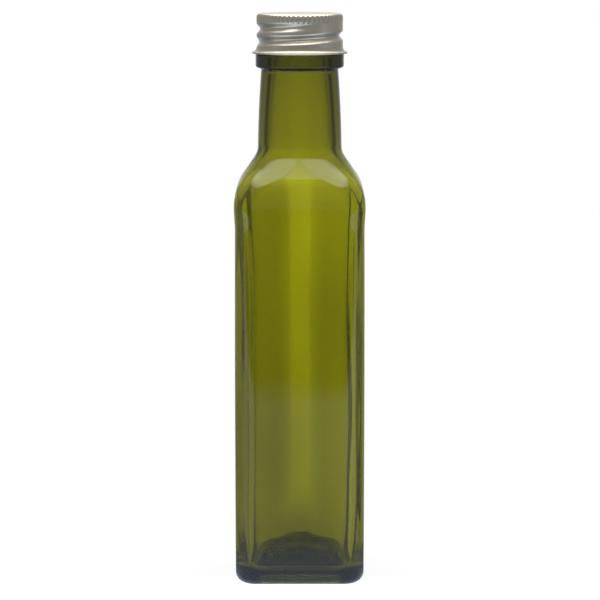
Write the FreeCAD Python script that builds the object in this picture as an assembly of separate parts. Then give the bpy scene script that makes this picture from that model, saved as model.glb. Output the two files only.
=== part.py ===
import FreeCAD
import Part
import math
import os

from FreeCAD import Vector

# A small square glass bottle for oil or vinegar, empty, closed by an aluminium screw cap.
# The origin is on the table, at the middle of the foot, and +Z is up the bottle's axis.
# All sizes are in millimetres.

# Body
BODY_WIDTH = 48.2         # across two flat panels
PANEL_SUNK = 0.4          # the panels lie this far inside the shoulder's widest line
PANEL_TOP = 133.0         # height where the flat panels end
PANEL_STEP = 9.0          # height over which the wall swells from panel to shoulder
CORNER_R = 8.0            # the body's upright corners
HEEL_R = 4.0              # rounded lower edge of the body
WALL = 3.0                # glass thickness of the panels
INNER_HEEL_R = 5.0        # rounded lower edge of the hollow
FLOOR = 6.0               # height of the hollow's lowest point
FLOOR_RISE = 8.5          # the floor domes up by this much at its middle
FLOOR_LEDGE = 0.5         # flat ledge between the dome and the hollow's rounded edge
PUNT_DEPTH = 3.5          # hollow under the foot
FOOT_RING = 3.1           # flat ring that the bottle stands on, between punt and heel

# Shoulder
SHOULDER_R = 20.5         # convex curve above the widest line
NECK_ROOT_R = 7.0         # concave curve into the neck
SHOULDER_RISE = 21.6      # height from the widest line to the neck's root
CORNER_FADE = 2.0         # how soon the square section turns round; 1 is evenly
INNER_SHOULDER_R = 17.0
INNER_ROOT_R = 9.0
INNER_ROOT_LIFT = 1.4     # the hollow's root lies this far above the neck's root

# Neck and finish
FINISH_R = 14.2           # the glass inside the cap
FINISH_WALL = 4.3         # glass thickness round the mouth
FINISH_HEIGHT = 14.6      # from the collar's top to the lip
LIP_R = 1.2
COLLAR_REACH = 2.35       # the collar stands out this far from the finish
COLLAR_HEIGHT = 5.2
COLLAR_EDGE_R = 1.6
NECK_SWELL = 0.2          # the neck's top is this much larger in radius than the finish
NECK_TAPER = 1.3          # the neck's root is this much larger in radius than its top
NECK_LENGTH = 29.2        # from the neck's root to the collar
NECK_WALL_TOP = 4.2       # glass thickness of the neck under the collar
NECK_WALL_ROOT = 3.6      # glass thickness of the neck at its root

# Cap
CAP_WALL = 1.9
CAP_FIT = 0.05            # clearance between the cap and the finish
CAP_TOP = 0.45            # thickness of the cap's top
CAP_GAP = 0.15            # clearance between the cap's rim and the collar
CAP_EDGE_R = 1.4
RIM_REACH = 1.75          # the flared lower rim stands out this far from the cap's side
RIM_THICK = 0.9
THREAD_PITCH = 4.8
THREAD_DEPTH = 1.35
THREAD_TOOL_R = 1.9       # radius of the rolled groove's section
THREAD_LOW = 4.5          # height of the groove's middle above the collar, at the -X side
THREAD_DROP = 3.668       # the groove's upper end lies this far below the lip
THREAD_FROM = -1.25       # where the groove starts, in units of pi from the +X side
THREAD_FADE = 0.35        # length over which each end of the groove runs out, in units of pi
KNURLS = 55
KNURL_R = 0.42
KNURL_DEPTH = 0.28
KNURL_LENGTH = 3.3

# How finely the square sections are drawn
SECTION_STEPS = 16
HEEL_STEPS = 6
CORNER_CROWD = 0.6        # 0 spaces a section's points evenly, nearly 1 crowds them at corners

# Sizes that follow from those above
WIDEST = PANEL_TOP + PANEL_STEP
SHOULDER_HALF = BODY_WIDTH / 2 + PANEL_SUNK
INNER_CORNER_R = CORNER_R - WALL / 2
INNER_HEEL = min(INNER_HEEL_R, 0.8 * INNER_CORNER_R)
FLOOR_DOME_R = BODY_WIDTH / 2 - WALL - INNER_HEEL - FLOOR_LEDGE
PUNT_R = BODY_WIDTH / 2 - HEEL_R - FOOT_RING
NECK_FOOT = WIDEST + SHOULDER_RISE
COLLAR_LOW = NECK_FOOT + NECK_LENGTH
COLLAR_TOP = COLLAR_LOW + COLLAR_HEIGHT
LIP = COLLAR_TOP + FINISH_HEIGHT
INNER_FOOT = NECK_FOOT + INNER_ROOT_LIFT
MOUTH_R = FINISH_R - FINISH_WALL
COLLAR_R = FINISH_R + COLLAR_REACH
NECK_TOP = FINISH_R + NECK_SWELL
NECK_ROOT = NECK_TOP + NECK_TAPER
BORE_TOP = NECK_TOP - NECK_WALL_TOP
BORE_ROOT = NECK_ROOT - NECK_WALL_ROOT
CAP_R = FINISH_R + CAP_FIT + CAP_WALL
RIM_R = CAP_R + RIM_REACH
FLARE_R = RIM_REACH - RIM_THICK / 2
THREAD_RISE = FINISH_HEIGHT - THREAD_LOW - THREAD_DROP
THREAD_TO = 2 * THREAD_RISE / THREAD_PITCH - 1


def tangent_curve(low, high, convex_r, concave_r):
    """Radius as a function of height between low and high, each (radius, height):
    a convex arc that starts upright, the straight line that touches both arcs, and a
    concave arc that ends upright. Where the two arcs are too large for the run and the
    rise between low and high, both are made smaller alike."""
    run = low[0] - high[0]
    rise = high[1] - low[1]
    room = (run ** 2 + rise ** 2) / (2 * run)
    fit = min(1.0, 0.95 * room / (convex_r + concave_r))
    convex_r = convex_r * fit
    concave_r = concave_r * fit
    ca = (low[0] - convex_r, low[1])
    cb = (high[0] + concave_r, high[1])
    span = math.hypot(cb[0] - ca[0], cb[1] - ca[1])
    lean = math.atan2(cb[1] - ca[1], cb[0] - ca[0]) - math.acos((convex_r + concave_r) / span)
    pa = (ca[0] + convex_r * math.cos(lean), ca[1] + convex_r * math.sin(lean))
    pb = (cb[0] - concave_r * math.cos(lean), cb[1] - concave_r * math.sin(lean))

    def radius(z):
        if z <= low[1]:
            return low[0]
        if z < pa[1]:
            return ca[0] + math.sqrt(convex_r ** 2 - (z - ca[1]) ** 2)
        if z < pb[1]:
            return pa[0] + (pb[0] - pa[0]) * (z - pa[1]) / (pb[1] - pa[1])
        if z < high[1]:
            return cb[0] - math.sqrt(concave_r ** 2 - (z - cb[1]) ** 2)
        return high[0]

    return radius


def panel_half(z):
    """Half the width across the panels, with a soft step out to the shoulder above them."""
    t = min(max((z - PANEL_TOP) / PANEL_STEP, 0.0), 1.0)
    return BODY_WIDTH / 2 + PANEL_SUNK * t * t * (3 - 2 * t)


outer_shoulder = tangent_curve((SHOULDER_HALF, WIDEST), (NECK_ROOT, NECK_FOOT),
                               SHOULDER_R, NECK_ROOT_R)
inner_shoulder = tangent_curve((SHOULDER_HALF - WALL, WIDEST), (BORE_ROOT, INNER_FOOT),
                               INNER_SHOULDER_R, INNER_ROOT_R)


def neck_radius(z, root, top, foot):
    """A neck that narrows slowly at its root and faster towards its top."""
    t = min(max((z - foot) / (COLLAR_LOW - foot), 0.0), 1.0)
    return root - (root - top) * t ** 1.6


def corner_radius(half, widest_half, root, corner):
    """Corner radius of the section with this half width: the body's corner at the widest
    line, and the full half width, a circle, at the neck's root."""
    s = min(max((widest_half - half) / (widest_half - root), 0.0), 1.0)
    return corner + (half - corner) * (1 - (1 - s) ** CORNER_FADE)


def outer_section(z):
    if z <= WIDEST:
        return panel_half(z), CORNER_R
    if z < NECK_FOOT:
        half = outer_shoulder(z)
        return half, corner_radius(half, SHOULDER_HALF, NECK_ROOT, CORNER_R)
    r = neck_radius(z, NECK_ROOT, NECK_TOP, NECK_FOOT)
    return r, r


def inner_section(z):
    if z <= WIDEST:
        return panel_half(z) - WALL, INNER_CORNER_R
    if z < INNER_FOOT:
        half = inner_shoulder(z)
        return half, corner_radius(half, SHOULDER_HALF - WALL, BORE_ROOT, INNER_CORNER_R)
    r = neck_radius(z, BORE_ROOT, BORE_TOP, INNER_FOOT)
    return r, r


def polar_radius(half, corner, angle):
    """Distance from the axis to a square with rounded corners, in the direction of angle,
    which is counted from the middle of a side, up to a right angle."""
    angle = min(angle, math.pi / 2 - angle)
    flat = half - corner
    if half * math.tan(angle) <= flat:
        return half / math.cos(angle)
    reach = flat * (math.cos(angle) + math.sin(angle))
    return reach + math.sqrt(max(reach ** 2 - 2 * flat ** 2 + corner ** 2, 0.0))


def section_wire(half, corner, z):
    """A square with rounded corners, as four curves that meet at the middles of its sides.
    Every section has its points in the same directions, closer together at the corners, so
    that a skin over many sections is even."""
    ticks = [k / SECTION_STEPS for k in range(SECTION_STEPS + 1)]
    quarter = []
    for t in ticks:
        angle = math.pi / 2 * (t + CORNER_CROWD * math.sin(2 * math.pi * t) / (2 * math.pi))
        r = polar_radius(half, corner, angle)
        quarter.append((r * math.cos(angle), r * math.sin(angle)))
    edges = []
    for turn in range(4):
        c, s = round(math.cos(turn * math.pi / 2)), round(math.sin(turn * math.pi / 2))
        pts = [Vector(c * x - s * y, s * x + c * y, z) for x, y in quarter]
        curve = Part.BSplineCurve()
        curve.interpolate(Points=pts, Parameters=ticks)
        edges.append(curve.toShape())
    return Part.Wire(edges)


def heights(low, high, steps):
    return [low + (high - low) * k / steps for k in range(steps + 1)]


def skin(section, levels, smooth=False):
    """The solid whose section at each level is section(level), with straight or smooth
    walls between the levels."""
    return Part.makeLoft([section_wire(*section(z), z) for z in levels], True, not smooth)


def square_to_round(section, base, heel_r, neck_foot, end):
    """The stack that makes a square body with a rounded heel, its shoulder and its neck."""
    side = base + heel_r

    def heel(z):
        half, corner = section(side)
        drop = heel_r - math.sqrt(max(heel_r ** 2 - (side - z) ** 2, 0.0))
        return half - drop, corner - drop

    quarter = [math.pi / 2 * k / HEEL_STEPS for k in range(HEEL_STEPS + 1)]
    levels = [base + heel_r * (1 - math.cos(a)) for a in quarter]
    return skin(heel, levels, smooth=True).fuse([
        skin(section, [side, PANEL_TOP]),
        skin(section, heights(PANEL_TOP, WIDEST, 4)),
        skin(section, heights(WIDEST, neck_foot, 10), smooth=True),
        skin(section, heights(neck_foot, COLLAR_LOW, 5) + [end]),
    ])


def dome(base_z, rise, radius):
    """A ball's cap of this height and base radius, standing on base_z."""
    ball_r = (radius ** 2 + rise ** 2) / (2 * rise)
    ball = Part.makeSphere(ball_r, Vector(0, 0, base_z + rise - ball_r))
    keep = Part.makeCylinder(radius * 1.05, rise * 1.1, Vector(0, 0, base_z))
    return ball.common(keep)


def lathe(points_and_arcs):
    """Turns a closed outline in the XZ plane round the Z axis. An item is a point, or a
    pair of points: the middle and the end of an arc."""
    edges = []
    here = points_and_arcs[0]
    for item in points_and_arcs[1:] + [points_and_arcs[0]]:
        if isinstance(item[0], tuple):
            mid, end = item
            edges.append(Part.Arc(Vector(here[0], 0, here[1]), Vector(mid[0], 0, mid[1]),
                                  Vector(end[0], 0, end[1])).toShape())
        else:
            end = item
            edges.append(Part.LineSegment(Vector(here[0], 0, here[1]),
                                          Vector(end[0], 0, end[1])).toShape())
        here = end
    face = Part.Face(Part.Wire(edges))
    return face.revolve(Vector(0, 0, 0), Vector(0, 0, 1), 360)


def corner_arc(cx, cz, r, from_deg, to_deg):
    """The middle and end points of an arc round (cx, cz)."""
    def at(deg):
        return (cx + r * math.cos(math.radians(deg)), cz + r * math.sin(math.radians(deg)))
    return (at((from_deg + to_deg) / 2), at(to_deg))


def bottle():
    finish = lathe([
        (0, COLLAR_LOW),
        (COLLAR_R - COLLAR_EDGE_R, COLLAR_LOW),
        corner_arc(COLLAR_R - COLLAR_EDGE_R, COLLAR_LOW + COLLAR_EDGE_R, COLLAR_EDGE_R, -90, 0),
        (COLLAR_R, COLLAR_TOP),
        (FINISH_R, COLLAR_TOP),
        (FINISH_R, LIP - LIP_R),
        corner_arc(FINISH_R - LIP_R, LIP - LIP_R, LIP_R, 0, 90),
        (0, LIP),
    ])
    outside = square_to_round(outer_section, 0, HEEL_R, NECK_FOOT, COLLAR_LOW + COLLAR_EDGE_R)
    outside = outside.fuse(finish)

    mouth = Part.makeCylinder(MOUTH_R, LIP - COLLAR_LOW + 2, Vector(0, 0, COLLAR_LOW - 1))
    hollow = square_to_round(inner_section, FLOOR, INNER_HEEL, INNER_FOOT, COLLAR_LOW + 1)
    hollow = hollow.cut(dome(FLOOR, FLOOR_RISE, FLOOR_DOME_R)).fuse(mouth)
    return outside.cut(hollow).cut(dome(0, PUNT_DEPTH, PUNT_R))


def thread_groove():
    """The groove rolled into the cap: a round section carried up a right-hand helix that
    leaves the metal gradually at both ends."""
    deep = CAP_R + THREAD_TOOL_R - THREAD_DEPTH
    clear = CAP_R + THREAD_TOOL_R + 0.4
    steps_per_pi = 12
    count = round((THREAD_TO - THREAD_FROM) * steps_per_pi)
    points = []
    for k in range(count + 1):
        turn = THREAD_FROM + (THREAD_TO - THREAD_FROM) * k / count
        end = min(turn - THREAD_FROM, THREAD_TO - turn) / THREAD_FADE
        ease = min(end, 1.0)
        r = clear + (deep - clear) * ease * ease * (3 - 2 * ease)
        a = turn * math.pi
        z = COLLAR_TOP + THREAD_LOW + THREAD_PITCH * (turn + 1) / 2
        points.append(Vector(r * math.cos(a), r * math.sin(a), z))
    path = Part.BSplineCurve()
    path.interpolate(points)
    spine = Part.Wire(path.toShape())
    start = path.value(path.FirstParameter)
    along = path.tangent(path.FirstParameter)[0]
    profile = Part.Wire(Part.makeCircle(THREAD_TOOL_R, start, along))
    sweep = Part.BRepOffsetAPI.MakePipeShell(spine)
    sweep.setBiNormalMode(Vector(0, 0, 1))
    sweep.add(profile)
    sweep.build()
    sweep.makeSolid()
    return sweep.shape()


def cap():
    low = COLLAR_TOP + CAP_GAP
    top = LIP + CAP_TOP
    bore = FINISH_R + CAP_FIT
    rim_top = low + RIM_THICK
    shell = lathe([
        (bore, low),
        (RIM_R - RIM_THICK / 2, low),
        corner_arc(RIM_R - RIM_THICK / 2, low + RIM_THICK / 2, RIM_THICK / 2, -90, 90),
        corner_arc(CAP_R + FLARE_R, rim_top + FLARE_R, FLARE_R, 270, 180),
        (CAP_R, top - CAP_EDGE_R),
        corner_arc(CAP_R - CAP_EDGE_R, top - CAP_EDGE_R, CAP_EDGE_R, 0, 90),
        (0, top),
        (0, LIP),
        (bore, LIP),
    ])
    notches = []
    for k in range(KNURLS):
        a = 2 * math.pi * (k + 0.25) / KNURLS
        r = CAP_R + KNURL_R - KNURL_DEPTH
        foot = Vector(r * math.cos(a), r * math.sin(a), top - KNURL_LENGTH)
        notches.append(Part.makeCylinder(KNURL_R, KNURL_LENGTH + 1, foot))
    return shell.cut(thread_groove()).cut(notches)


def save(name, shape):
    solid = shape.Solids[0] if len(shape.Solids) == 1 else shape
    solid.exportStep(os.path.join("parts", name + ".step"))
    box = solid.BoundBox
    print(name, "solids", len(solid.Solids), "valid", solid.isValid(),
          "volume cm3", round(solid.Volume / 1000, 2),
          "box", [round(v, 2) for v in (box.XMin, box.YMin, box.ZMin, box.XMax, box.YMax, box.ZMax)])


os.makedirs("parts", exist_ok=True)
save("bottle", bottle())
save("cap", cap())
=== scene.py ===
import bpy
import math
import numpy as np
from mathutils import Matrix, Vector


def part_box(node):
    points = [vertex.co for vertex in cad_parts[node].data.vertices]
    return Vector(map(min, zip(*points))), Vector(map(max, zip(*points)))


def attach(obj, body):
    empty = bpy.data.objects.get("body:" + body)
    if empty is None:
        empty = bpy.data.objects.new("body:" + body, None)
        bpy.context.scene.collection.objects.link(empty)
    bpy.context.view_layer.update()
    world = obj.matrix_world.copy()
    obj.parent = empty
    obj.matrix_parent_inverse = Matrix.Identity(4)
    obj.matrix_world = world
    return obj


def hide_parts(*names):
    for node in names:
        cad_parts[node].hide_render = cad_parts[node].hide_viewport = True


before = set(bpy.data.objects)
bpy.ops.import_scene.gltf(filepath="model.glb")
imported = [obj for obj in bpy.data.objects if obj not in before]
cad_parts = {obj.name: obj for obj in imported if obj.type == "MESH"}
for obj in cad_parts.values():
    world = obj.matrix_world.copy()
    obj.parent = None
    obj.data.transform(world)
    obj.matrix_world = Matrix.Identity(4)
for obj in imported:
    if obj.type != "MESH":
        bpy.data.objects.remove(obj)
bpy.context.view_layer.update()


# ---------------------------------------------------------------------------------------
# The glass bottle. A square bottle blown in a two-part mould from olive green bottle
# glass: flat panels a little sunk for a label, round neck, collar and a mouth that takes
# a rolled-on cap. The hollow follows the outside, but no blown wall is even.

MM = 0.001                # sizes of the bottle and cap are in mm, and this makes them metres
low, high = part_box("bottle")
LIP = high[2] / MM
SHOULDER_HALF = (high[0] - low[0]) / 2 / MM

# Outside, from the foot up
PUNT_DEPTH = 3.5
PUNT_SHARP = 20.0         # power of the punt's section: steep sides under a flat roof
PUNT_DOME = 0.8           # height of the slight dome that the roof adds
PUNT_DOME_POWER = 2.5
PUNT_ROUND = 0.2          # the rings are round within this share of the punt's half width
FOOT_RING = 3.1
HEEL_R = 4.0
PANEL_SUNK = 0.4
PANEL_HALF = SHOULDER_HALF - PANEL_SUNK
PANEL_BOW = 0.15
PANEL_TOP = 133.0
PANEL_STEP = 9.0          # height of the soft step from the panels to the shoulder
CORNER_R = 8.0
SHOULDER_R = 20.5
SHOULDER_RISE = 21.6
CORNER_FADE = 1.3         # above 1, the shoulder's sections turn round sooner
NECK_ROOT_R = 7.0
NECK_ROOT = 15.7
NECK_TOP = 14.4
NECK_TAPER = 1.6          # above 1, the neck narrows late
NECK_LENGTH = 29.2
COLLAR_R = 16.55
COLLAR_HEIGHT = 5.2
COLLAR_ROOT_R = 1.0
COLLAR_EDGE_R = 1.1
COLLAR_TOP_R = 0.4        # rounding of the collar's upper edge and of the step above it
FINISH_R = 14.2
LIP_R = 1.2

# Inside, from the lip down
MOUTH_EDGE_R = 0.8
MOUTH_R = 9.9
MOUTH_DEPTH = 6.0
MOUTH_FADE = 12.0         # length over which the mouth runs into the bore
BORE_TOP = 9.7
BORE_ROOT = 11.6
INNER_RISE = 23.0
INNER_ROOT_R = 12.0
INNER_SHOULDER_R = 17.0
INNER_FADE = 2.6
INNER_CORNER_R = 4.5
WALL = 3.0
INNER_HEEL_R = 4.5
HEEL_CORNER = 0.6         # how much of the heel's inset comes off the corner radius
FLOOR = 4.8
FLOOR_RISE = 8.6
FLOOR_FLAT = 3.6          # power of the floor's section: flatter in the middle when higher
FLOOR_ROUND = 0.4         # the rings are round within this share of the floor's half width

WIDEST = PANEL_TOP + PANEL_STEP
NECK_FOOT = WIDEST + SHOULDER_RISE
INNER_FOOT = WIDEST + INNER_RISE
COLLAR_LOW = NECK_FOOT + NECK_LENGTH
COLLAR_TOP = COLLAR_LOW + COLLAR_HEIGHT


def ease(t):
    """0 to 1 with a level start and end: three t squared less two t cubed."""
    t = np.clip(t, 0.0, 1.0)
    return t * t * (3 - 2 * t)


def tangent_curve(z, foot, top, convex_r, concave_r):
    """Radius at height z between foot and top, each (radius, height): a convex arc that
    starts upright, the line that touches both arcs, and a concave arc that ends upright."""
    ca = (foot[0] - convex_r, foot[1])
    cb = (top[0] + concave_r, top[1])
    span = math.hypot(cb[0] - ca[0], cb[1] - ca[1])
    lean = math.atan2(cb[1] - ca[1], cb[0] - ca[0]) - math.acos((convex_r + concave_r) / span)
    pa = (ca[0] + convex_r * math.cos(lean), ca[1] + convex_r * math.sin(lean))
    pb = (cb[0] - concave_r * math.cos(lean), cb[1] - concave_r * math.sin(lean))
    convex = ca[0] + np.sqrt(np.maximum(convex_r ** 2 - (z - ca[1]) ** 2, 0))
    line = pa[0] + (pb[0] - pa[0]) * (z - pa[1]) / (pb[1] - pa[1])
    concave = cb[0] - np.sqrt(np.maximum(concave_r ** 2 - (z - cb[1]) ** 2, 0))
    return np.where(z < pa[1], convex, np.where(z < pb[1], line, concave))


def polar_radius(half, corner, angle):
    """Distance from the axis to a square with rounded corners: along a flat it is the half
    width over the cosine of the angle, and at a corner the far root of the circle there."""
    a = np.abs((angle + math.pi / 4) % (math.pi / 2) - math.pi / 4)
    corner = np.minimum(corner, half)
    flat = half - corner
    reach = flat * (np.cos(a) + np.sin(a))
    arc = reach + np.sqrt(np.maximum(reach ** 2 - 2 * flat ** 2 + corner ** 2, 0))
    return np.where(half * np.tan(a) <= flat, half / np.cos(a), arc)


def corner_at(half, widest_half, root, corner, fade):
    """Corner radius of a shoulder section: the body's at the widest line, and the whole
    half width, so a circle, at the neck. Between them the share of the circle is one less
    the remaining way to the neck raised to fade, so a larger fade rounds it sooner."""
    s = np.clip((widest_half - half) / (widest_half - root), 0, 1)
    return corner + (half - corner) * (1 - (1 - s) ** fade)


def arc_points(centre, radius, start_deg, end_deg, count):
    """Points (r, z) evenly along an arc: the centre plus the radius times the cosine and
    sine of each angle."""
    a = np.radians(np.linspace(start_deg, end_deg, count))
    return centre[0] + radius * np.cos(a), centre[1] + radius * np.sin(a)


class Outline:
    """Half width, corner radius and height of each ring of a closed skin, in order."""

    def __init__(self):
        self.half, self.corner, self.z = [], [], []

    def add(self, half, z, corner=None):
        """Adds rings. Without a corner radius they are circles."""
        half = np.atleast_1d(np.asarray(half, float))
        corner = half if corner is None else corner
        self.half.append(half)
        self.corner.append(np.broadcast_to(np.asarray(corner, float), half.shape))
        self.z.append(np.broadcast_to(np.asarray(z, float), half.shape))

    def arrays(self):
        """All rings so far, as one array each of half widths, corner radii and heights."""
        return [np.concatenate(v) for v in (self.half, self.corner, self.z)]


def panel_half(z):
    """Half width of the body: a slight bow between heel and shoulder, half a sine wave
    high, then the soft step out to the shoulder's widest line."""
    bow = PANEL_BOW * np.sin(math.pi * np.clip((z - HEEL_R) / (PANEL_TOP - HEEL_R), 0, 1))
    return PANEL_HALF + bow + PANEL_SUNK * ease((z - PANEL_TOP) / PANEL_STEP)


def neck_radius(z, foot, root, top):
    """Radius of the neck or bore: root at the height foot, and top at the collar. What it
    has narrowed by is the share of the way up, raised to NECK_TAPER."""
    t = np.clip((z - foot) / (COLLAR_LOW - foot), 0, 1)
    return root - (root - top) * t ** NECK_TAPER


# Outside, from the middle of the punt to the lip. The last number of each linspace and
# arc_points is its count of rings, and ring_mesh fills the small ring in the middle.
outer = Outline()
punt_r = PANEL_HALF - HEEL_R - FOOT_RING
r = (1 - np.linspace(0.98, 0, 24) ** 2) * punt_r
share = r / punt_r
roof = PUNT_DEPTH * (1 - share ** PUNT_SHARP) + PUNT_DOME * (1 - share ** PUNT_DOME_POWER)
foot_corner = CORNER_R - HEEL_R
squareness = ease((share - PUNT_ROUND) / (1 - PUNT_ROUND))
outer.add(r, roof, r - (punt_r - foot_corner) * squareness)
s = np.linspace(0, 1, 6)[1:-1]
foot_half = PANEL_HALF - HEEL_R
outer.add(punt_r + (foot_half - punt_r) * s, 0.0, foot_corner)
a = np.radians(np.linspace(90, 0, 16))
drop = HEEL_R * (1 - np.cos(a))
outer.add(PANEL_HALF - drop, HEEL_R * (1 - np.sin(a)), CORNER_R - drop)
z = np.linspace(HEEL_R, PANEL_TOP, 60)[1:-1]
outer.add(panel_half(z), z, CORNER_R)
z = np.linspace(PANEL_TOP, WIDEST, 16)
outer.add(panel_half(z), z, CORNER_R)
z = np.linspace(WIDEST, NECK_FOOT, 52)[1:]
h = tangent_curve(z, (SHOULDER_HALF, WIDEST), (NECK_ROOT, NECK_FOOT), SHOULDER_R, NECK_ROOT_R)
outer.add(h, z, corner_at(h, SHOULDER_HALF, NECK_ROOT, CORNER_R, CORNER_FADE))
z = np.linspace(NECK_FOOT, COLLAR_LOW - 1.1 * COLLAR_ROOT_R, 16)[1:]
outer.add(neck_radius(z, NECK_FOOT, NECK_ROOT, NECK_TOP), z)
outer.add(*arc_points((NECK_TOP + COLLAR_ROOT_R, COLLAR_LOW - COLLAR_ROOT_R), COLLAR_ROOT_R,
                      180, 90, 7))
outer.add(*arc_points((COLLAR_R - COLLAR_EDGE_R, COLLAR_LOW + COLLAR_EDGE_R), COLLAR_EDGE_R,
                      -90, 0, 10))
z = np.linspace(COLLAR_LOW + COLLAR_EDGE_R, COLLAR_TOP - COLLAR_TOP_R, 5)[1:]
outer.add(np.full(z.shape, COLLAR_R), z)
outer.add(*arc_points((COLLAR_R - COLLAR_TOP_R, COLLAR_TOP - COLLAR_TOP_R), COLLAR_TOP_R,
                      22, 90, 4))
outer.add(*arc_points((FINISH_R + COLLAR_TOP_R, COLLAR_TOP + COLLAR_TOP_R), COLLAR_TOP_R,
                      270, 180, 4))
z = np.linspace(COLLAR_TOP + COLLAR_TOP_R, LIP - LIP_R, 6)[1:]
outer.add(np.full(z.shape, FINISH_R), z)
outer.add(*arc_points((FINISH_R - LIP_R, LIP - LIP_R), LIP_R, 15, 90, 6))

# Inside, from the lip down to the middle of the domed floor
inner = Outline()
inner.add(*arc_points((MOUTH_R + MOUTH_EDGE_R, LIP - MOUTH_EDGE_R), MOUTH_EDGE_R, 90, 180, 5))
z = np.linspace(LIP - MOUTH_EDGE_R, COLLAR_LOW, 10)[1:]
inner.add(MOUTH_R + (BORE_TOP - MOUTH_R) * ease((LIP - MOUTH_DEPTH - z) / MOUTH_FADE), z)
z = np.linspace(COLLAR_LOW, INNER_FOOT, 22)[1:]
inner.add(neck_radius(z, INNER_FOOT, BORE_ROOT, BORE_TOP), z)
z = np.linspace(INNER_FOOT, WIDEST, 52)[1:-1]
inner_widest = SHOULDER_HALF - WALL
h = tangent_curve(z, (inner_widest, WIDEST), (BORE_ROOT, INNER_FOOT),
                  INNER_SHOULDER_R, INNER_ROOT_R)
inner.add(h, z, corner_at(h, inner_widest, BORE_ROOT, INNER_CORNER_R, INNER_FADE))
z = np.linspace(WIDEST, FLOOR + INNER_HEEL_R, 74)
inner.add(panel_half(z) - WALL, z, INNER_CORNER_R)
inner_half = PANEL_HALF - WALL
a = np.radians(np.linspace(0, 90, 14))[1:]
drop = INNER_HEEL_R * (1 - np.cos(a))
inner.add(inner_half - drop, FLOOR + INNER_HEEL_R * (1 - np.sin(a)),
          INNER_CORNER_R - HEEL_CORNER * drop)
s = np.linspace(1, 0.02, 26)[1:]
floor_half = inner_half - INNER_HEEL_R
floor_corner = INNER_CORNER_R - HEEL_CORNER * INNER_HEEL_R
squareness = ease((s - FLOOR_ROUND) / (1 - FLOOR_ROUND))
inner.add(floor_half * s, FLOOR + FLOOR_RISE * (1 - s ** FLOOR_FLAT),
          s * (floor_half - (floor_half - floor_corner) * squareness))

TURN_STEPS = 224
CORNER_CROWD = 0.55

# The uneven inner wall: thickness added, and where it fades in or out, in mm or degrees
FRONT_SHARE = 1.1         # how far round the corners the front and back panels reach
FRONT_SWING = 2.5
BAND_WALL = 1.2           # in the front and back panels, beside a middle band
BAND_FROM = 9.0
BAND_FADE = 16.0
BAND_FOOT = 14.0
BAND_FOOT_FADE = 20.0
SIDE_THIN = 1.2           # taken off in the side panels
LOW_THICK = 0.7           # in the lower half
LOW_FADE = 45.0
HEEL_THICK = 1.9          # in the front and back panels just above the floor
HEEL_THICK_TOP = 34.0
HEEL_THICK_FADE = 24.0
HOLLOW_ASIDE = 0.45       # how far the hollow lies to the right
BODY_WAVES_TOP = 158.0
BODY_WAVES_FADE = 18.0
SHOULDER_THIN = 0.8       # taken off in the shoulder
SHOULDER_THIN_LOW = 143.0
SHOULDER_THIN_TOP = 170.0
SHOULDER_THIN_FADE = 8.0
ALL_WAVES_TOP = 175.0
ALL_WAVES_FADE = 30.0
# Long waves: depth, height per radian, crests round the axis, and start in radians
LONG_WAVES = ((0.30, 26.0, 2, 0.6), (0.12, 13.0, -3, 2.1), (0.04, 7.5, 5, 4.0))


def crowded_turn(steps, crowd):
    """Angles round the axis, closer together at the four corners: each quarter turn t has
    crowd times the sine of two pi t, over two pi, added."""
    t = np.arange(steps) / (steps / 4)
    q = np.floor(t)
    t = t - q
    return (q + t + crowd * np.sin(2 * math.pi * t) / (2 * math.pi)) * math.pi / 2


def wall_waves(angle, z):
    """How far the hollow's wall swells inwards, in mm: thick bands in the front and back
    panels, less in the side panels and the shoulder, more towards the heel and the left,
    each eased in and out, and the sum of a few long, slanting sine waves."""
    aside = np.degrees(np.abs((angle + math.pi / 4) % (math.pi / 2) - math.pi / 4))
    front_or_back = ease(FRONT_SHARE + FRONT_SWING * np.cos(2 * angle))
    band = (BAND_WALL * ease((aside - BAND_FROM) / BAND_FADE) * front_or_back
            * ease((z - BAND_FOOT) / BAND_FOOT_FADE))
    thin = SIDE_THIN * (1 - front_or_back)
    low_down = (LOW_THICK * ease((WIDEST - z) / LOW_FADE)
                + HEEL_THICK * front_or_back * ease((HEEL_THICK_TOP - z) / HEEL_THICK_FADE))
    body = band - thin + low_down - HOLLOW_ASIDE * np.sin(angle)
    swell = (ease((BODY_WAVES_TOP - z) / BODY_WAVES_FADE) * body
             - SHOULDER_THIN * ease((z - SHOULDER_THIN_LOW) / SHOULDER_THIN_FADE)
             * ease((SHOULDER_THIN_TOP - z) / SHOULDER_THIN_FADE))
    for depth, height, crests, start in LONG_WAVES:
        swell = swell + depth * np.sin(z / height + crests * angle + start)
    return swell


def ring_mesh(name, x, y, z):
    """A closed mesh from rings: x, y and z are arrays of rings by points, joined to their
    neighbours by quads, with the first and last ring filled."""
    rings, points = x.shape
    verts = np.stack([x, y, z], axis=-1).reshape(-1, 3) * MM
    i, j = np.meshgrid(np.arange(rings - 1), np.arange(points), indexing="ij")
    k = (j + 1) % points
    quads = np.stack([i * points + j, i * points + k, (i + 1) * points + k, (i + 1) * points + j],
                     axis=-1).reshape(-1, 4)
    first = list(range(points))[::-1]
    last = [(rings - 1) * points + p for p in range(points)]
    mesh = bpy.data.meshes.new(name)
    mesh.from_pydata(verts.tolist(), [], quads.tolist() + [first, last])
    mesh.update()
    mesh.shade_smooth()
    piece = bpy.data.objects.new(name, mesh)
    bpy.context.scene.collection.objects.link(piece)
    return piece


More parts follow.
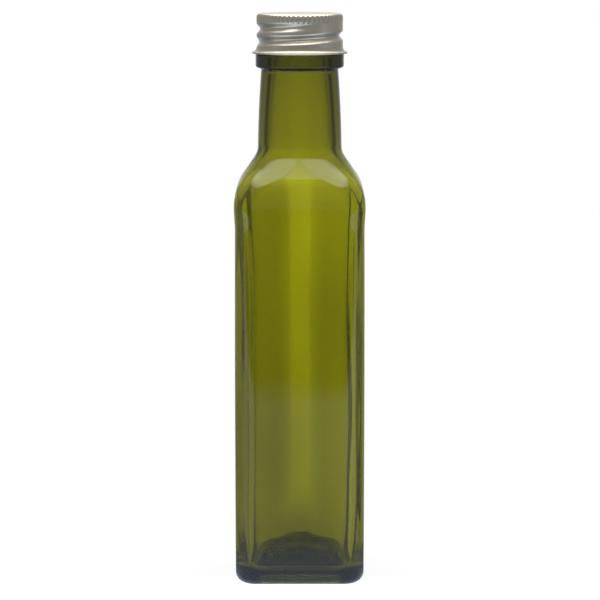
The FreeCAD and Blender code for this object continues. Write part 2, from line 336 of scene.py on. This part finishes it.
outside = outer.arrays()
inside = inner.arrays()
half, corner, z = [np.concatenate(pair) for pair in zip(outside, inside)]
angle = crowded_turn(TURN_STEPS, CORNER_CROWD)[None, :]
radius = polar_radius(half[:, None], corner[:, None], angle)
is_inner = (np.arange(half.size) >= outside[0].size)[:, None]
floor_share = np.clip(half / inner_half, 0, 1) ** 2
wave_share = np.where(z < WIDEST, floor_share, ease((ALL_WAVES_TOP - z) / ALL_WAVES_FADE))
radius = radius - is_inner * wave_share[:, None] * wall_waves(angle, z[:, None])
turned = angle - math.pi / 2
glass_body = ring_mesh("glass_bottle", radius * np.cos(turned), radius * np.sin(turned),
                       np.broadcast_to(z[:, None], radius.shape))


def linear(hex_colour):
    """An sRGB hex colour as linear red, green, blue and alpha 1: each channel c is c over
    12.92 when dark, and otherwise c plus 0.055, over 1.055, to the power 2.4."""
    srgb = [int(hex_colour[k:k + 2], 16) / 255 for k in (1, 3, 5)]
    return [c / 12.92 if c <= 0.04045 else ((c + 0.055) / 1.055) ** 2.4 for c in srgb] + [1.0]


def add_node(tree, kind, settings=None, **inputs):
    """Adds a node. settings are its own attributes. An input is a value or a socket, under
    its name, or under n and its number."""
    node = tree.nodes.new(kind)
    for key, value in (settings or {}).items():
        setattr(node, key, value)
    for key, value in inputs.items():
        by_number = key[0] == "n" and key[1:].isdigit()
        socket = node.inputs[int(key[1:]) if by_number else key.replace("_", " ")]
        if isinstance(value, bpy.types.NodeSocket):
            tree.links.new(value, socket)
        else:
            socket.default_value = value
    return node


def new_material(name):
    """A material with an empty node tree, and that tree."""
    material = bpy.data.materials.new(name)
    material.use_nodes = True
    material.node_tree.nodes.clear()
    return material, material.node_tree


# Olive green soda-lime glass, moulded and fire polished: a clear gloss skin, and a colour
# that lies in the depth of the glass, so thick parts are darker. Blue is almost all held
# back. The mould leaves ripples a centimetre or two long that bend what is seen through it.
GLASS_TINT = "#e9e926"
GLASS_DEPTH = 1100.0      # density of the colour per metre
GLASS_IOR = 1.52
RIPPLE_LENGTH = 14.0
RIPPLE_DEPTH = 0.12
glass, tree = new_material("olive_bottle_glass")
where = add_node(tree, "ShaderNodeTexCoord")
ripple = add_node(tree, "ShaderNodeTexNoise", Vector=where.outputs["Object"],
                  Scale=1 / (RIPPLE_LENGTH * MM), Detail=1.0, Roughness=0.4)
bump = add_node(tree, "ShaderNodeBump", Strength=0.25, Distance=RIPPLE_DEPTH * MM,
                Height=ripple.outputs["Fac"])
skin = add_node(tree, "ShaderNodeBsdfPrincipled", Base_Color=(1, 1, 1, 1), IOR=GLASS_IOR,
                Roughness=0.0, Transmission_Weight=1.0, Normal=bump.outputs["Normal"])
depth = add_node(tree, "ShaderNodeVolumeAbsorption", Color=linear(GLASS_TINT),
                 Density=GLASS_DEPTH)
add_node(tree, "ShaderNodeOutputMaterial", Surface=skin.outputs["BSDF"],
         Volume=depth.outputs["Volume"])
glass_body.data.materials.append(glass)
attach(glass_body, "root")
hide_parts("bottle")


# ---------------------------------------------------------------------------------------
# The screw cap. A cup drawn from thin aluminium sheet, knurled round its top edge, with the
# thread rolled in against the bottle's own. The ring that once held it down is torn
# off, which leaves a thin flared rim.

low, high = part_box("cap")
CAP_LOW = low[2] / MM
CAP_TOP = high[2] / MM
RIM_R = (high[0] - low[0]) / 2 / MM
CAP_R = 16.15
CAP_EDGE_R = 1.4
RIM_THICK = 0.55
RIM_POINTS = 7
FLARE_R = 1.9
SHEET = 0.3
THREAD_PITCH = 4.8
THREAD_DEPTH = 1.35
THREAD_HALF = 2.15        # half the groove's width
THREAD_LOW = COLLAR_TOP + 4.5
THREAD_FROM = -1.25       # where the groove starts and ends, in half turns from the right
THREAD_TO = 1.68
THREAD_FADE = 0.35        # length over which each end runs out, in half turns
KNURLS = 55
KNURL_DEPTH = 0.2
KNURL_SHARP = 1.5         # above 1, the flutes are narrower than the ridges between them
KNURL_FOOT = CAP_TOP - 3.4
KNURL_FOOT_FADE = 0.6
KNURL_HEAD = CAP_TOP - 0.25
KNURL_HEAD_FADE = 0.5
CAP_STEPS = KNURLS * 12
DISC_R = np.array([13.6, 12.2, 9.0, 5.0, 1.0])        # rings of the top, and how far
DISC_SUNK = np.array([0.0, 0.12, 0.14, 0.14, 0.14])   # each lies below the highest point
UNDER_EDGE = 14.9         # outer ring of the disc's underside
UNDER_R = np.array([1.0, 8.0])                        # the rings inside it


def thread_depth(angle, z):
    """Depth of the rolled groove: a raised cosine across it, on a right-hand helix, fading
    at both ends. The helix is taken once for each turn that could pass a point."""
    deepest = np.zeros(np.broadcast(angle, z).shape)
    for turn in (-2, 0, 2):
        t = angle / math.pi + turn
        centre = THREAD_LOW + THREAD_PITCH * (t + 1) / 2
        across = np.clip(np.abs(z - centre) / THREAD_HALF, 0, 1)
        section = 0.5 + 0.5 * np.cos(math.pi * across)
        along = ease(np.minimum(t - THREAD_FROM, THREAD_TO - t) / THREAD_FADE)
        deepest = np.maximum(deepest, THREAD_DEPTH * along * section)
    return deepest


def knurl_depth(angle, z):
    """Depth of the flutes pressed round the top edge: a raised cosine to the power
    KNURL_SHARP once per flute, eased in at its foot and out at its head."""
    flute = (0.5 + 0.5 * np.cos(KNURLS * angle)) ** KNURL_SHARP
    foot = ease((z - KNURL_FOOT) / KNURL_FOOT_FADE)
    return KNURL_DEPTH * flute * foot * ease((KNURL_HEAD - z) / KNURL_HEAD_FADE)


def side_profile(count):
    """The cap's outer side from rim to top edge as (radius, height): rolled rim, flare,
    upright wall and rounded edge."""
    rim_r = RIM_THICK / 2
    rim = arc_points((RIM_R - rim_r, CAP_LOW + rim_r), rim_r, -90, 90, RIM_POINTS)
    flare = arc_points((CAP_R + FLARE_R, CAP_LOW + RIM_THICK + FLARE_R), FLARE_R, 262, 180, 12)
    wall_z = np.linspace(CAP_LOW + RIM_THICK + FLARE_R, CAP_TOP - CAP_EDGE_R, count)[1:-1]
    edge = arc_points((CAP_R - CAP_EDGE_R, CAP_TOP - CAP_EDGE_R), CAP_EDGE_R, 0, 90, 12)
    radius = np.concatenate([rim[0], flare[0], np.full(wall_z.shape, CAP_R), edge[0]])
    height = np.concatenate([rim[1], flare[1], wall_z, edge[1]])
    return radius, height


# Rings from the middle of the underside, down the inside, round the rim and up the outside
# to the middle of the top
side_r, side_z = side_profile(70)
angle = (np.arange(CAP_STEPS) / CAP_STEPS * 2 * math.pi - math.pi)[None, :]
all_round = np.ones_like(angle)
skin_r = (side_r[:, None] - thread_depth(angle, side_z[:, None])
          - knurl_depth(angle, side_z[:, None]))
under_z = np.linspace(CAP_LOW, CAP_TOP - SHEET, 26)[1:]
under_side = np.interp(under_z, side_z[RIM_POINTS:], side_r[RIM_POINTS:])
under_r = np.minimum(under_side, CAP_R)[:, None] - SHEET - thread_depth(angle, under_z[:, None])
under_r[-1] = UNDER_EDGE
radius = np.concatenate([UNDER_R[:, None] * all_round, under_r[::-1], skin_r,
                         DISC_R[:, None] * all_round])
height = np.concatenate([np.full(UNDER_R.shape, CAP_TOP - SHEET), under_z[::-1], side_z,
                         CAP_TOP - DISC_SUNK])
cap_body = ring_mesh("screw_cap", radius * np.cos(angle), radius * np.sin(angle),
                     np.broadcast_to(height[:, None], radius.shape))

# Mill-finish aluminium sheet under a clear lacquer, rolled and drawn: a satin metal whose
# drawing lines run round the cap, and whose tone changes a little over some millimetres.
ALUMINIUM = "#ede7d5"
ALUMINIUM_DULL = "#cbc5b3"
LINE_LENGTH = 1.6
LINE_DEPTH = 0.02
LINE_SQUEEZE = 9.0        # how much finer the lines are up the cap than round it
PATCH_LENGTH = 7.0
SMOOTHEST = 0.26
ROUGHEST = 0.38
metal, tree = new_material("satin_aluminium")
where = add_node(tree, "ShaderNodeTexCoord")
stretched = add_node(tree, "ShaderNodeMapping", {"vector_type": "POINT"},
                     Vector=where.outputs["Object"], Scale=(1.0, 1.0, LINE_SQUEEZE))
lines = add_node(tree, "ShaderNodeTexNoise", Vector=stretched.outputs["Vector"],
                 Scale=1 / (LINE_LENGTH * MM), Detail=3.0, Roughness=0.6)
patches = add_node(tree, "ShaderNodeTexNoise", Vector=where.outputs["Object"],
                   Scale=1 / (PATCH_LENGTH * MM), Detail=2.0)
tone = add_node(tree, "ShaderNodeMix", {"data_type": "RGBA"}, n0=patches.outputs["Fac"],
                n6=linear(ALUMINIUM), n7=linear(ALUMINIUM_DULL))
satin = add_node(tree, "ShaderNodeMapRange", Value=lines.outputs["Fac"],
                 To_Min=SMOOTHEST, To_Max=ROUGHEST)
bump = add_node(tree, "ShaderNodeBump", Strength=0.3, Distance=LINE_DEPTH * MM,
                Height=lines.outputs["Fac"])
skin = add_node(tree, "ShaderNodeBsdfPrincipled", Base_Color=tone.outputs[2], Metallic=1.0,
                Roughness=satin.outputs["Result"], Normal=bump.outputs["Normal"])
add_node(tree, "ShaderNodeOutputMaterial", Surface=skin.outputs["BSDF"])
cap_body.data.materials.append(metal)
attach(cap_body, "root")
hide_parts("cap")


# ---------------------------------------------------------------------------------------
# The studio, in metres: a white table whose bright part ends a little in front of the
# bottle, a bright backdrop behind, dim surroundings, and a large soft lamp overhead that is
# brighter in its middle. The table glows, and in reflections and through the glass its glow
# holds painted light and shade. A glow of 1 is white, and a pair is where a fade starts and ends.

TABLE_REACH = 1.4
TABLE_DROP = 0.0001
TABLE_WHITE = "#f2f2f2"
PURE_WHITE = "#ffffff"
# Painted cool cast of light in the table's glow, seen in reflections and under the bottle
COOL_WHITE = "#dfebff"
SOFT = {"interpolation_type": "SMOOTHSTEP"}

# In reflections
# Painted shadow of the camera: in reflections the table's glow is dimmer straight ahead
CAMERA_SHADOW_GLOW = 0.62        # of the table straight ahead, where the camera stands
CAMERA_SHADOW_SPREAD = (0.08, 0.3)
# Painted pool of light: in reflections the table's glow is brightest next to the bottle
LIGHT_POOL_GLOW = 1.25          # of the table next to the bottle
LIGHT_POOL_REACH = (0.05, 0.12)
FAR_GLOW = 0.2            # share that is left beyond the table's front edge
FRONT_EDGE = (-0.525, -0.415)
SIDE_GLOW = 0.3           # of the table and the room beside and behind the bottle
SIDE_SPREAD = (-0.5, 0.2)
BEHIND_GLOW = 0.6         # of the table and the room squarely behind it
BEHIND_SPREAD = (0.8, 0.95)
ROOM_GLOW = 0.28          # of the room in front
ROOM_SPREAD = (-0.75, -0.6)

# Through the glass
# Painted shadow of the bottle: through the glass the table's glow is dim under it
BOTTLE_SHADOW_GLOW = 0.21         # of the table under the bottle
BOTTLE_SHADOW_REACH = (0.018, 0.03)
DIAGONAL_GLOW = 0.2       # of the room between the four square directions
DIAGONAL_SPREAD = (0.72, 0.96)

# To the camera
SHADOW_CLEAR = 0.95       # how much of the bottle's shadow is left out beside it
SHADOW_REACH = (0.03, 0.05)


def flat_sheet(name, reach, z):
    """A square sheet with the middle of its sides this far from the origin."""
    mesh = bpy.data.meshes.new(name)
    corners = [(-reach, -reach, z), (reach, -reach, z), (reach, reach, z), (-reach, reach, z)]
    mesh.from_pydata(corners, [], [(0, 1, 2, 3)])
    sheet = bpy.data.objects.new(name, mesh)
    bpy.context.scene.collection.objects.link(sheet)
    return sheet


table = flat_sheet("table", TABLE_REACH, -TABLE_DROP)
white, tree = new_material("white_table")
where = add_node(tree, "ShaderNodeTexCoord")
rays = add_node(tree, "ShaderNodeLightPath")
away = add_node(tree, "ShaderNodeVectorMath", {"operation": "LENGTH"}, n0=where.outputs["Object"])
place = add_node(tree, "ShaderNodeSeparateXYZ", n0=where.outputs["Object"])
course = add_node(tree, "ShaderNodeVectorMath", {"operation": "NORMALIZE"},
                  n0=where.outputs["Object"])
course = add_node(tree, "ShaderNodeSeparateXYZ", n0=course.outputs["Vector"])
sideways = add_node(tree, "ShaderNodeMath", {"operation": "ABSOLUTE"}, n0=course.outputs["X"])

# In reflections: bright in front as far as the edge, less so down the middle in a painted
# shadow of the camera, brightest next to the bottle in a painted pool of light, and dim
# beside and behind it but for a brighter strip squarely behind
middle = add_node(tree, "ShaderNodeMapRange", SOFT, Value=sideways.outputs["Value"],
                  From_Min=CAMERA_SHADOW_SPREAD[0], From_Max=CAMERA_SHADOW_SPREAD[1],
                  To_Min=CAMERA_SHADOW_GLOW, To_Max=1.0)
# The painted pool of light next to the bottle
near = add_node(tree, "ShaderNodeMapRange", SOFT, Value=away.outputs["Value"],
                From_Min=LIGHT_POOL_REACH[0], From_Max=LIGHT_POOL_REACH[1],
                To_Min=LIGHT_POOL_GLOW, To_Max=CAMERA_SHADOW_GLOW)
brighter = add_node(tree, "ShaderNodeMath", {"operation": "MAXIMUM"},
                    n0=middle.outputs["Result"], n1=near.outputs["Result"])
edge = add_node(tree, "ShaderNodeMapRange", SOFT, Value=place.outputs["Y"],
                From_Min=FRONT_EDGE[0], From_Max=FRONT_EDGE[1], To_Min=FAR_GLOW, To_Max=1.0)
to_edge = add_node(tree, "ShaderNodeMath", {"operation": "MULTIPLY"},
                   n0=brighter.outputs["Value"], n1=edge.outputs["Result"])
front = add_node(tree, "ShaderNodeMapRange", SOFT, Value=course.outputs["Y"],
                 From_Min=SIDE_SPREAD[0], From_Max=SIDE_SPREAD[1], To_Min=1.0, To_Max=SIDE_GLOW)
in_front = add_node(tree, "ShaderNodeMath", {"operation": "MULTIPLY"},
                    n0=to_edge.outputs["Value"], n1=front.outputs["Result"])
behind = add_node(tree, "ShaderNodeMapRange", SOFT, Value=course.outputs["Y"],
                  From_Min=BEHIND_SPREAD[0], From_Max=BEHIND_SPREAD[1],
                  To_Min=0.0, To_Max=BEHIND_GLOW - SIDE_GLOW)
mirrored = add_node(tree, "ShaderNodeMath", {"operation": "ADD"},
                    n0=in_front.outputs["Value"], n1=behind.outputs["Result"])

# Through the glass: white, with a painted shadow of the bottle under it. To the camera: white
under = add_node(tree, "ShaderNodeMapRange", SOFT, Value=away.outputs["Value"],
                 From_Min=BOTTLE_SHADOW_REACH[0], From_Max=BOTTLE_SHADOW_REACH[1],
                 To_Min=BOTTLE_SHADOW_GLOW, To_Max=1.0)
through = add_node(tree, "ShaderNodeMath", {"operation": "MULTIPLY"},
                   n0=under.outputs["Result"], n1=rays.outputs["Is Transmission Ray"])
strength = add_node(tree, "ShaderNodeMix", n0=rays.outputs["Is Transmission Ray"],
                    n2=mirrored.outputs["Value"], n3=through.outputs["Value"])
strength = add_node(tree, "ShaderNodeMath", {"operation": "MAXIMUM"},
                    n0=strength.outputs[0], n1=rays.outputs["Is Camera Ray"])

# The glow is a cool white in reflections and under the bottle, a painted cool cast of light, and
# pure white otherwise
straight = add_node(tree, "ShaderNodeMath", {"operation": "MAXIMUM"},
                    n0=through.outputs["Value"], n1=rays.outputs["Is Camera Ray"])
cast = add_node(tree, "ShaderNodeMix", {"data_type": "RGBA"}, n0=straight.outputs["Value"],
                n6=linear(COOL_WHITE), n7=linear(PURE_WHITE))
glow = add_node(tree, "ShaderNodeEmission", Color=cast.outputs[2],
                Strength=strength.outputs["Value"])

# Beside the bottle a little of the plain table, with its shadow, shows to the camera
clear = add_node(tree, "ShaderNodeMapRange", SOFT, Value=away.outputs["Value"],
                 From_Min=SHADOW_REACH[0], From_Max=SHADOW_REACH[1],
                 To_Min=SHADOW_CLEAR, To_Max=1.0)
seen = add_node(tree, "ShaderNodeMath", {"operation": "MULTIPLY"},
                n0=clear.outputs["Result"], n1=rays.outputs["Is Camera Ray"])
by_glass = add_node(tree, "ShaderNodeMath", {"operation": "MAXIMUM"},
                    n0=rays.outputs["Is Glossy Ray"], n1=rays.outputs["Is Transmission Ray"])
glowing = add_node(tree, "ShaderNodeMath", {"operation": "MAXIMUM"},
                   n0=seen.outputs["Value"], n1=by_glass.outputs["Value"])
matt = add_node(tree, "ShaderNodeBsdfDiffuse", Color=linear(TABLE_WHITE))
mixed = add_node(tree, "ShaderNodeMixShader", n0=glowing.outputs["Value"],
                 n1=matt.outputs["BSDF"], n2=glow.outputs["Emission"])
add_node(tree, "ShaderNodeOutputMaterial", Surface=mixed.outputs["Shader"])
table.data.materials.append(white)

# The room: white to the camera; through the glass white squarely on each side and dimmer
# towards the diagonals; in reflections a brighter backdrop behind and a dim room.
world = bpy.data.worlds.new("studio")
bpy.context.scene.world = world
world.use_nodes = True
tree = world.node_tree
tree.nodes.clear()
where = add_node(tree, "ShaderNodeTexCoord")
rays = add_node(tree, "ShaderNodeLightPath")
course = add_node(tree, "ShaderNodeSeparateXYZ", n0=where.outputs["Generated"])
room = add_node(tree, "ShaderNodeMapRange", SOFT, Value=course.outputs["Y"],
                From_Min=ROOM_SPREAD[0], From_Max=ROOM_SPREAD[1],
                To_Min=ROOM_GLOW, To_Max=SIDE_GLOW)
behind = add_node(tree, "ShaderNodeMapRange", SOFT, Value=course.outputs["Y"],
                  From_Min=BEHIND_SPREAD[0], From_Max=BEHIND_SPREAD[1],
                  To_Min=0.0, To_Max=BEHIND_GLOW - SIDE_GLOW)
mirrored = add_node(tree, "ShaderNodeMath", {"operation": "ADD"},
                    n0=room.outputs["Result"], n1=behind.outputs["Result"])
level = add_node(tree, "ShaderNodeVectorMath", {"operation": "MULTIPLY"},
                 n0=where.outputs["Generated"], n1=(1.0, 1.0, 0.0))
level = add_node(tree, "ShaderNodeVectorMath", {"operation": "NORMALIZE"},
                 n0=level.outputs["Vector"])
level = add_node(tree, "ShaderNodeVectorMath", {"operation": "ABSOLUTE"},
                 n0=level.outputs["Vector"])
level = add_node(tree, "ShaderNodeSeparateXYZ", n0=level.outputs["Vector"])
square = add_node(tree, "ShaderNodeMath", {"operation": "MAXIMUM"},
                  n0=level.outputs["X"], n1=level.outputs["Y"])
through = add_node(tree, "ShaderNodeMapRange", SOFT, Value=square.outputs["Value"],
                   From_Min=DIAGONAL_SPREAD[0], From_Max=DIAGONAL_SPREAD[1],
                   To_Min=DIAGONAL_GLOW, To_Max=1.0)
strength = add_node(tree, "ShaderNodeMix", n0=rays.outputs["Is Transmission Ray"],
                    n2=mirrored.outputs["Value"], n3=through.outputs["Result"])
strength = add_node(tree, "ShaderNodeMath", {"operation": "MAXIMUM"},
                    n0=strength.outputs[0], n1=rays.outputs["Is Camera Ray"])
sky = add_node(tree, "ShaderNodeBackground", Color=linear(PURE_WHITE),
               Strength=strength.outputs["Value"])
add_node(tree, "ShaderNodeOutputWorld", Surface=sky.outputs["Background"])

# Each lamp's height, its size across and along, and its power in watts
LAMP_BACK = 0.42
SOFTBOX = (1.1, (1.40, 2.05), 10.0)
SOFTBOX_MIDDLE = (1.09, (1.24, 1.85), 5.5)


def soft_lamp(name, height, size, power):
    """An oval soft light at this height, centred a little behind the bottle, facing down."""
    light = bpy.data.lights.new(name, "AREA")
    light.shape = "ELLIPSE"
    light.size, light.size_y = size
    light.energy = power
    lamp = bpy.data.objects.new(name, light)
    bpy.context.scene.collection.objects.link(lamp)
    lamp.location = (0.0, LAMP_BACK, height)
    lamp.rotation_euler = Vector((0.0, 0.0, -height)).to_track_quat("-Z", "Y").to_euler()


soft_lamp("overhead_softbox", *SOFTBOX)
soft_lamp("softbox_middle", *SOFTBOX_MIDDLE)

# The camera, a little above the cap and looking slightly down.
CAMERA_ASIDE = 0.0001
CAMERA_BACK = 1.1
CAMERA_HEIGHT = 0.253
CAMERA_TILT = 7.66
LENS = 176.1
camera = bpy.data.cameras.new("camera")
camera.lens = LENS
camera.sensor_width = 36.0
camera.clip_start = 0.01
view = bpy.data.objects.new("camera", camera)
bpy.context.scene.collection.objects.link(view)
view.location = (CAMERA_ASIDE, -CAMERA_BACK, CAMERA_HEIGHT)
view.rotation_euler = (math.radians(90 - CAMERA_TILT), 0, 0)
bpy.context.scene.camera = view
bpy.context.scene.view_settings.view_transform = "Standard"
